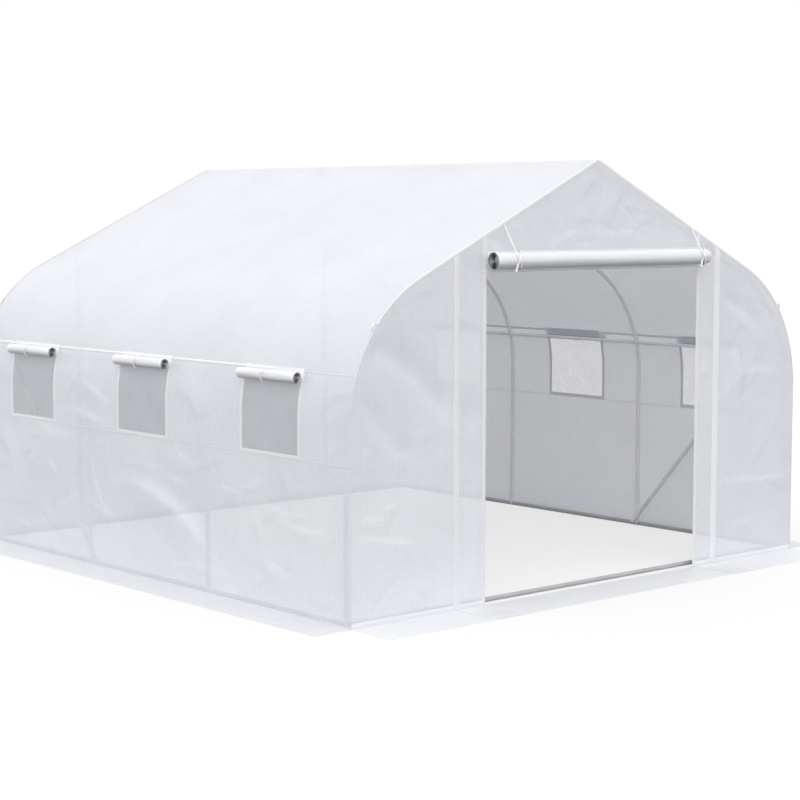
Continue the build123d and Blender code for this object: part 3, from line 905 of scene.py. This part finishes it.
# Binding over the corner between roof and end wall, and the thin seam down each leg below it. Its section is
# given by how far each point lies past the end wall (negative: on the roof) and out of the cover.
BINDING = [(-0.0115, 0.0004), (-0.011, 0.0012), (-0.004, 0.0016), (0.0003, 0.0014), (0.0011, -0.0002)]
BINDING = np.array([*BINDING, (0.0008, -0.005), (0.0001, -0.0105), (-0.0006, -0.0135)])
BINDING_WIDTH = 0.027
LEG_TOP = 1.12


def binding_rows(side, end, s):
    """Points of the binding on one side at the distances s, narrow on the leg and full on the roof."""
    x, z, nx, nz = section(s)
    full = (0.16 + 0.84 * smooth((s - 1.15) / 0.45))[:, None]
    over = np.where(BINDING[:, 0] < 0, BINDING[:, 0] * full, BINDING[:, 0])
    out = np.where(BINDING[:, 1] < 0, BINDING[:, 1] * full, BINDING[:, 1]) - ridge_dip(HALF_RUN - s)[:, None]
    x, z = x[:, None] + nx[:, None] * out, z[:, None] + nz[:, None] * out
    return stacked(side * x, end * (HALF_LENGTH + over), z)


for end_name, end in ENDS.items():
    arch_s, leg_s = stations(LEG_TOP, HALF_RUN, STEP), stations(0.002, LEG_TOP, STEP)
    arch = np.concatenate([binding_rows(-1, end, arch_s), binding_rows(1, end, arch_s)[::-1][1:]])
    legs = {f"leg_seam_{name}": binding_rows(side, end, leg_s) for name, side in SIDES.items()}
    for label, points in {"arch_binding": arch, **legs}.items():
        across = np.linspace(0, BINDING_WIDTH, len(BINDING))
        uv = stacked(*crossed(walked_along(points[:, 0]), across))
        material = TAPE if label == "arch_binding" else FILM
        sheet_piece(f"{label}_{end_name}", points, uv, material, "webbing", smooth_faces=False)

# Hem along the foot, where walls and skirts are sewn together
SIDE_HEM, END_HEM, HEM_RISE = 0.006, 0.024, 0.0012
hems = []
for side in SIDES.values():
    hems.append(level_tape(side, FILM_SKIN, SIDE_HEM, -HALF_LENGTH, HALF_LENGTH, 0.0004))
    hems.append(tape(end_point, -1, side * DOOR_X, side * HALF_WIDTH, FILM_SKIN, END_HEM, HEM_RISE))
hems.append(tape(end_point, 1, -HALF_WIDTH, HALF_WIDTH, FILM_SKIN, END_HEM, HEM_RISE))
make_mesh("foot_hem", *merged(hems), FLAP_FILM, "film")

# Seams of the front skirt, in line with the upright seams
SKIRT_SEAM = 0.01
lines = []
for side in SIDES.values():
    for x in (0.724, 0.89):
        across = np.linspace(side * (x - SKIRT_SEAM / 2), side * (x + SKIRT_SEAM / 2), 5)
        lines.append(grid_part(*skirt_grid(across, stations(-RIM + 0.001, -HALF_LENGTH), END_SEED, 0.0012)))
make_mesh("skirt_seams", *merged(lines), SEAM_TAPE, "film")

# Screens

THREAD_PITCH, THREAD_WIDTH = 0.0025, 0.00076


def screen(side, y_mid):
    """An insect screen of crossing threads, each a thin ribbon, stretched over the window."""
    parts = []
    y0, y1 = y_mid - WINDOW / 2, y_mid + WINDOW / 2
    edges = np.array([-THREAD_WIDTH / 2, THREAD_WIDTH / 2])
    for y in np.arange(y0 + THREAD_PITCH / 2, y1, THREAD_PITCH):
        s, across = crossed(stations(sill, head, 0.04), y + edges)
        parts.append(grid_part(shell_point(side, s, across, -0.0002), stacked(s, across)))
    for s in np.arange(sill + THREAD_PITCH / 2, head, THREAD_PITCH):
        y, across = crossed(stations(y0, y1, 0.05), s + edges)
        parts.append(grid_part(shell_point(side, across, y, 0.0003), stacked(y, across)))
    return merged(parts)


for name, side in SIDES.items():
    for number, y in enumerate(WINDOWS[name], start=1):
        piece = make_mesh(f"screen_{name}_{number}", *screen(side, y), THREAD, "mesh", smooth_faces=False)
        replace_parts(piece, f"window_screens_{name}")
        flat, below = (WINDOW, head - sill), [f"window_cover_{name}"]

# Rolls


def wound_line(outer, inner, length, start, web, gaps):
    """Section of a wound sheet about its own middle: the web that leads to it, then turns that get smaller.
    After each gap, given in turns, the sheet lies flatter, so crescents open at the roll's ends."""
    pitch = pi * (outer**2 - inner**2) / length
    turns = (outer - inner) / pitch
    t = np.linspace(0, turns, int(turns * 44))
    radius = outer - pitch * t
    squeeze = sum(share * smooth((t - gap) / 0.5) for gap, share in gaps)
    angle = start + 2 * pi * t
    high = radius * np.sin(angle) * (1 - squeeze * abs(np.sin(angle)) ** 5)
    return np.concatenate([np.asarray(web, float), stacked(radius * np.cos(angle), high)])


def roll_piece(name, line, ends, place, seed, size, flat_width, stands_for, rests_on, bunch=0.0):
    """A wound sheet: line is its section, ends where it starts and stops, place puts points in the frame.
    size is how uneven its radius is, and bunch how much its far end is gathered up by the tie round it."""
    start, stop = ends
    span = stop - start
    near_ends = (0.003, 0.012, span - 0.06, span - 0.03, span - 0.012, span - 0.003)
    walked = walked_along(line)
    reach = np.hypot(line[:, 0], line[:, 1])
    u, turn = stations(0, span, 0.016, near_ends), np.unwrap(np.arctan2(line[:, 1], line[:, 0])) / 2
    u, turn = crossed(u, turn)
    bulge = size * (noise(u * 0.8, turn, 0.35, seed) + 0.5 * noise(u * 3, turn * 1.6, 0.5, seed + 5, 2))
    lumps = noise(u * 16 + 1.1 * np.cos(2 * turn), 1.1 * np.sin(2 * turn), 0.5, seed + 8, 2)
    closing = 0.28 * reach * smooth((u - span + 0.02) / 0.02)
    bulge += bunch * smooth((u - span + 0.075) / 0.06) * (0.0075 * lumps * reach / reach.max() - closing)
    scale = 1 + bulge * smooth(walked / 0.03) / np.maximum(reach, 0.006)
    inner = np.clip(walked / walked[-1] * 6 - 1.5, 0, 4)
    tuck = 0.0002 * inner * (np.exp(-u / 0.02) - np.exp(-(span - u) / 0.02))
    points = place(start + u + tuck, line[:, 0] * scale, line[:, 1] * scale)
    uv = stacked(np.minimum(u, span - u), walked)
    film_piece(name, (points, uv), [stands_for], ROLLED, "rolled_film")


# Each window roll hangs by its web from the upper seam and rests against the haunch
WINDOW_ROLL, WINDOW_COVER, ROLL_OVERHANG = 0.0268, 0.44, 0.005
ROLL_REACH = HAUNCH + 0.0276
roll_z = HEAD + 0.001
roll_x = HAUNCH_X + sqrt(ROLL_REACH**2 - (roll_z - SPRING) ** 2)
web_x, web_z = (float(v) for v in section(run_at(1.0845))[:2])
first = pi + float(np.arcsin((roll_z - SPRING) / ROLL_REACH))
web_start = np.array([web_x + 0.0006 - roll_x, web_z - roll_z])
touching = WINDOW_ROLL * np.array([cos(first), sin(first)])
web = [web_start + (touching - web_start) * t for t in (0, 0.2, 0.4, 0.6, 0.8)]
line = wound_line(WINDOW_ROLL, 0.004, WINDOW_COVER, first, web, ((0.8, 0.08), (1.9, 0.13), (3.0, 0.13)))
for name, side in SIDES.items():

    def place(along, across, up, side=side):
        return stacked(side * (roll_x + across), along, roll_z + up)

    for number, y in enumerate(WINDOWS[name], start=1):
        ends = (y - WINDOW / 2 - ROLL_OVERHANG, y + WINDOW / 2 + ROLL_OVERHANG)
        seed, flat_width, label = 200 + 10 * number + side, WINDOW + 0.01, f"window_roll_{name}_{number}"
        covers = (f"window_rolls_{name}", f"window_cover_{name}")
        roll_piece(label, line, ends, place, seed, 0.0008, flat_width, *covers)

DOOR_ROLL, DOOR_COVER = 0.0392, 1.5
door_y, door_z = -HALF_LENGTH - 0.0403, DOOR_HEAD + 0.053
web = [(-0.0385, h) for h in (0.043, 0.034, 0.026, 0.018, 0.009)]
line = wound_line(DOOR_ROLL, 0.006, DOOR_COVER, pi, web, ((1.2, 0.04), (3.0, 0.07), (5.5, 0.08), (8.0, 0.1)))


def place_door(along, across, up):
    return stacked(along, door_y - across, door_z + up)


ends = (-DOOR_X + 0.004, DOOR_X + 0.03)
roll_piece("door_sheet", line, ends, place_door, 300, 0.0006, 1.46, "door_roll", "front_cover_gable", 1.0)

# Ties. Their points are given from the middle of a roll: along it, out from the wall, up.


def strap_part(points, width, thick, out, step=0.004):
    """Flat tape along a line, its flat side towards out."""
    return sweep(curve_points(points, step), strap_section(width, thick), out)


def knot_part(middle, size, width, seed):
    """A small overhand knot: tape that winds round itself."""
    t = np.linspace(0, 4.6 * pi, 44)
    tilt = np.random.default_rng(seed).uniform(-0.5, 0.5)
    swell = 1 + 0.3 * np.cos(1.5 * t)
    ring = stacked(np.cos(t) * swell, 0.7 * np.sin(1.5 * t), np.sin(t) * swell)
    turn = np.array(Matrix.Rotation(tilt, 3, "Y"))
    return sweep(np.asarray(middle) + size * ring @ turn.T, circle(width))


def around(radius, degrees, along):
    """Points round a roll, for each angle from straight out, upwards."""
    turn = np.radians(degrees)
    return stacked(np.asarray(along, float), radius * np.cos(turn), radius * np.sin(turn))


TIE_WIDTH, TIE_THICK, THIN_TIE = 0.0076, 0.0013, 0.001
DOOR_TIES = ((-0.6116, -0.5908, 1.702, 1), (0.6655, 0.6694, 1.682, 2))
parts = []
outer = DOOR_ROLL + 0.0022
for top_x, knot_x, top_z, seed in DOOR_TIES:

    def seat(rows, x=knot_x):
        return [(x + along, door_y - out, door_z + up) for along, out, up in rows]

    touch = np.array(seat(around(outer, [27], [-0.0052]))[0])
    anchor = np.array((top_x, -HALF_LENGTH - 0.003, top_z))
    drop = [anchor + (touch - anchor) * t for t in (0, 0.33, 0.66)]
    sway = [-0.0052, -0.0025, 0.001, 0.014, 0.03, 0.04, 0.044]
    wrap = around(outer, [27, 12, -4, -28, -54, -85, -120], sway)
    parts.append(strap_part([*drop, *seat(wrap)], TIE_WIDTH, TIE_THICK, (0, -1, 0.3)))
    over = around(outer + 0.0016, [120, 85, 52, 26, 0, -27], [0.04, 0.034, 0.025, 0.0095, 0.0, -0.0085])
    tail = [(-0.018, outer + 0.003, -0.031), (-0.0285, outer + 0.006, -0.049)]
    parts.append(strap_part(seat([*over, *tail]), TIE_WIDTH * 1.3, TIE_THICK, (0, -1, 0.8)))
    short = [(0.001, outer + 0.0035, 0.0), (0.009, outer + 0.002, -0.014), (0.011, outer - 0.004, -0.03)]
    parts.append(strap_part(seat(short), 0.0075, THIN_TIE, (0, -1, 0.5)))
    parts.append(knot_part((knot_x + 0.0005, door_y - outer - 0.002, door_z + 0.0005), 0.0036, 0.0019, seed))
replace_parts(make_mesh("door_sheet_ties", *merged(parts), TIE, "webbing", False), "door_ties")

parts = []
outer = WINDOW_ROLL + 0.0016
LOOP_ANGLES = [132, 100, 70, 40, 12, -20, -55, -95, -135]
LOOP_SWAY = [0.006, 0.006, 0.004, -0.001, -0.004, 0.002, 0.006, 0.004, 0.004]
TAIL = [(-0.002, 0.0022, 0.006), (0.005, 0.0025, -0.008), (0.002, -0.001, -0.02), (-0.005, -0.005, -0.031)]
BOW = [(0.0, 0.0022, 0.006), (-0.009, 0.004, 0.013), (-0.014, 0.001, 0.002), (-0.006, 0.003, -0.003)]
for name, side in SIDES.items():
    for number, y in enumerate(WINDOWS[name]):

        def seat(rows, past=0.0, y=y + 0.015, side=side):
            return [(side * (roll_x + past + out), y + along, roll_z + up) for along, out, up in rows]

        loop = seat(around(outer, LOOP_ANGLES, LOOP_SWAY))
        parts.append(strap_part(loop, 0.007, TIE_THICK, (side, 0, 0.2), 0.003))
        parts.append(strap_part(seat(TAIL, outer), 0.006, THIN_TIE, (side, 0, 0)))
        parts.append(strap_part(seat(BOW, outer), 0.0055, THIN_TIE, (side, 0, 0)))
        parts.append(knot_part(seat([(-0.001, 0.0022, 0.005)], outer)[0], 0.0029, 0.0016, 5 + number))
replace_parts(make_mesh("window_roll_ties", *merged(parts), TIE, "webbing", False), "window_ties")

# Small tabs beside the window heads, and the loops on the haunches
TAB_AWAY, TAB_WIDTH = 0.024, 0.01
for name, side in SIDES.items():
    parts = []
    for y in WINDOWS[name]:
        y_tab = y + side * (WINDOW / 2 + TAB_AWAY)
        s = stations(run_at(HEAD), run_at(1.096), 0.008)
        s, across = crossed(s, y_tab + np.linspace(-TAB_WIDTH / 2, TAB_WIDTH / 2, TAPE_ROWS))
        bow = 0.0015 * np.sin(np.linspace(0, pi, len(s)))[:, None]
        uv = stacked(s, across - y_tab + TAB_WIDTH / 2)
        parts.append(grid_part(shell_point(side, s, across, 0.0016 + bow), uv))
    make_mesh(f"window_tabs_{name}", *merged(parts), FILM, "film")

LOOP_TURN = radians(37.3)
LOOP_SHAPE = [(-0.017, 0.0), (-0.0165, 0.005), (-0.011, 0.0135), (0, 0.0155)]
LOOP_SHAPE += [(-u, v) for u, v in LOOP_SHAPE[-2::-1]]
parts = []
for end in ENDS.values():
    for side in SIDES.values():
        outward = np.array([side * cos(LOOP_TURN), 0, sin(LOOP_TURN)])
        upward = np.array([-side * sin(LOOP_TURN), 0, cos(LOOP_TURN)])
        root = np.array([side * HAUNCH_X, end * (HALF_LENGTH - 0.005), SPRING]) + outward * (HAUNCH + 0.002)
        route = [root + upward * u + outward * v for u, v in LOOP_SHAPE]
        parts.append(strap_part(route, 0.01, 0.0022, outward, 0.003))
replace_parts(make_mesh("haunch_webbing", *merged(parts), TIE, "webbing", False), "haunch_loops")

# Bolts at the purlin joints and under the ridge connectors

BOLT_SIZE = 0.0055
WASHER = [(BOLT_SIZE * 1.35, 0.0), (BOLT_SIZE * 1.35, 0.001), (BOLT_SIZE * 1.28, 0.0013)]
BOLT_HEAD = [(BOLT_SIZE * 0.96, 0.0012), (BOLT_SIZE, 0.0016), (BOLT_SIZE, 0.0042), (BOLT_SIZE * 0.84, 0.005)]


def bolt_part(place, outward):
    """A hexagon bolt head on a washer."""
    outward = np.asarray(outward, float)
    outward /= np.linalg.norm(outward)
    side = np.cross(outward, (0.3, 0.9, 0.2))
    side /= np.linalg.norm(side)
    axes = np.stack([side, np.cross(outward, side)])
    parts = []
    for rings, count in ((WASHER, 24), (BOLT_HEAD, 6)):
        rows = [place + outward * rise + circle(size, count) @ axes for size, rise in rings]
        verts = np.concatenate(rows)
        faces = grid_faces(len(rings), count, close=True).tolist()
        faces.append(list(range((len(rings) - 1) * count, len(rings) * count)))
        parts.append((verts, faces, verts[:, :2]))
    return merged(parts)


parts = []
purlin_x = HAUNCH_X + sqrt((HAUNCH - HOOP_INSET) ** 2 - (PURLIN_HEIGHT - SPRING) ** 2)
for y in HOOPS:
    for side in SIDES.values():
        parts.append(bolt_part((side * (purlin_x - 0.0112), y, PURLIN_HEIGHT), (-side, 0, 0.0)))
        peak = np.array([0, y, HEIGHT - HOOP_INSET / cos(PITCH)])
        down = np.array([side * cos(PITCH), 0, -sin(PITCH)])
        below = np.array([-side * sin(PITCH), 0, -cos(PITCH)])
        for run in (0.024, 0.046):
            parts.append(bolt_part(peak + down * run + below * 0.0134, below))
make_mesh("frame_bolts", *merged(parts), BOLT, "connector", smooth_faces=False)

# Floor and world: plain for the light, white where they are seen directly

FAR = 60.0
plane = bpy.data.meshes.new("studio_floor")
plane.from_pydata([(-FAR, -FAR, 0), (FAR, -FAR, 0), (FAR, FAR, 0), (-FAR, FAR, 0)], [], [(0, 1, 2, 3)])
placed("studio_floor", plane)
n = material_nodes("studio_floor")
shade = n.add("BsdfDiffuse", {"Color": (0.3, 0.3, 0.3)})[0]
glow = n.add("Emission", {"Color": (1, 1, 1), "Strength": 0.63})[0]
bright = n.add("AddShader", {0: shade, 1: glow})[0]
plain = n.add("BsdfDiffuse", {"Color": (0.4, 0.4, 0.4)})[0]
plane.materials.append(n.surface(n.blend(n.seen_directly(), plain, bright)))

world = bpy.data.worlds.new("studio")
bpy.context.scene.world = world
n = Nodes(world, "OutputWorld")
soft = n.add("Background", {"Color": (0.985, 0.99, 1.0), "Strength": 0.88})[0]
white = n.add("Background", {"Color": (1, 1, 1), "Strength": 1.0})[0]
n.surface(n.blend(n.seen_directly(), soft, white))

# Light and camera

lamp = bpy.data.lights.new("overhead", "SUN")
lamp.energy = 1.65
lamp.angle = radians(90)
lamp.color = (1.0, 0.995, 0.985)
placed("overhead", lamp).rotation_euler = (radians(24), radians(-26), 0)

camera = bpy.data.cameras.new("camera")
camera.sensor_width = 36.0
camera.lens = 87.08
camera.clip_end = 500.0
view = placed("camera", camera)
yaw, dip, roll = radians(41.41), radians(5.58), radians(0.038)
look = Vector((sin(yaw) * cos(dip), cos(yaw) * cos(dip), -sin(dip)))
aim = look.to_track_quat("-Z", "Y").to_matrix().to_4x4() @ Matrix.Rotation(roll, 4, "Z")
view.matrix_world = Matrix.Translation((-6.665, -7.718, 1.762)) @ aim
bpy.context.scene.camera = view
bpy.context.scene.view_settings.view_transform = "Standard"
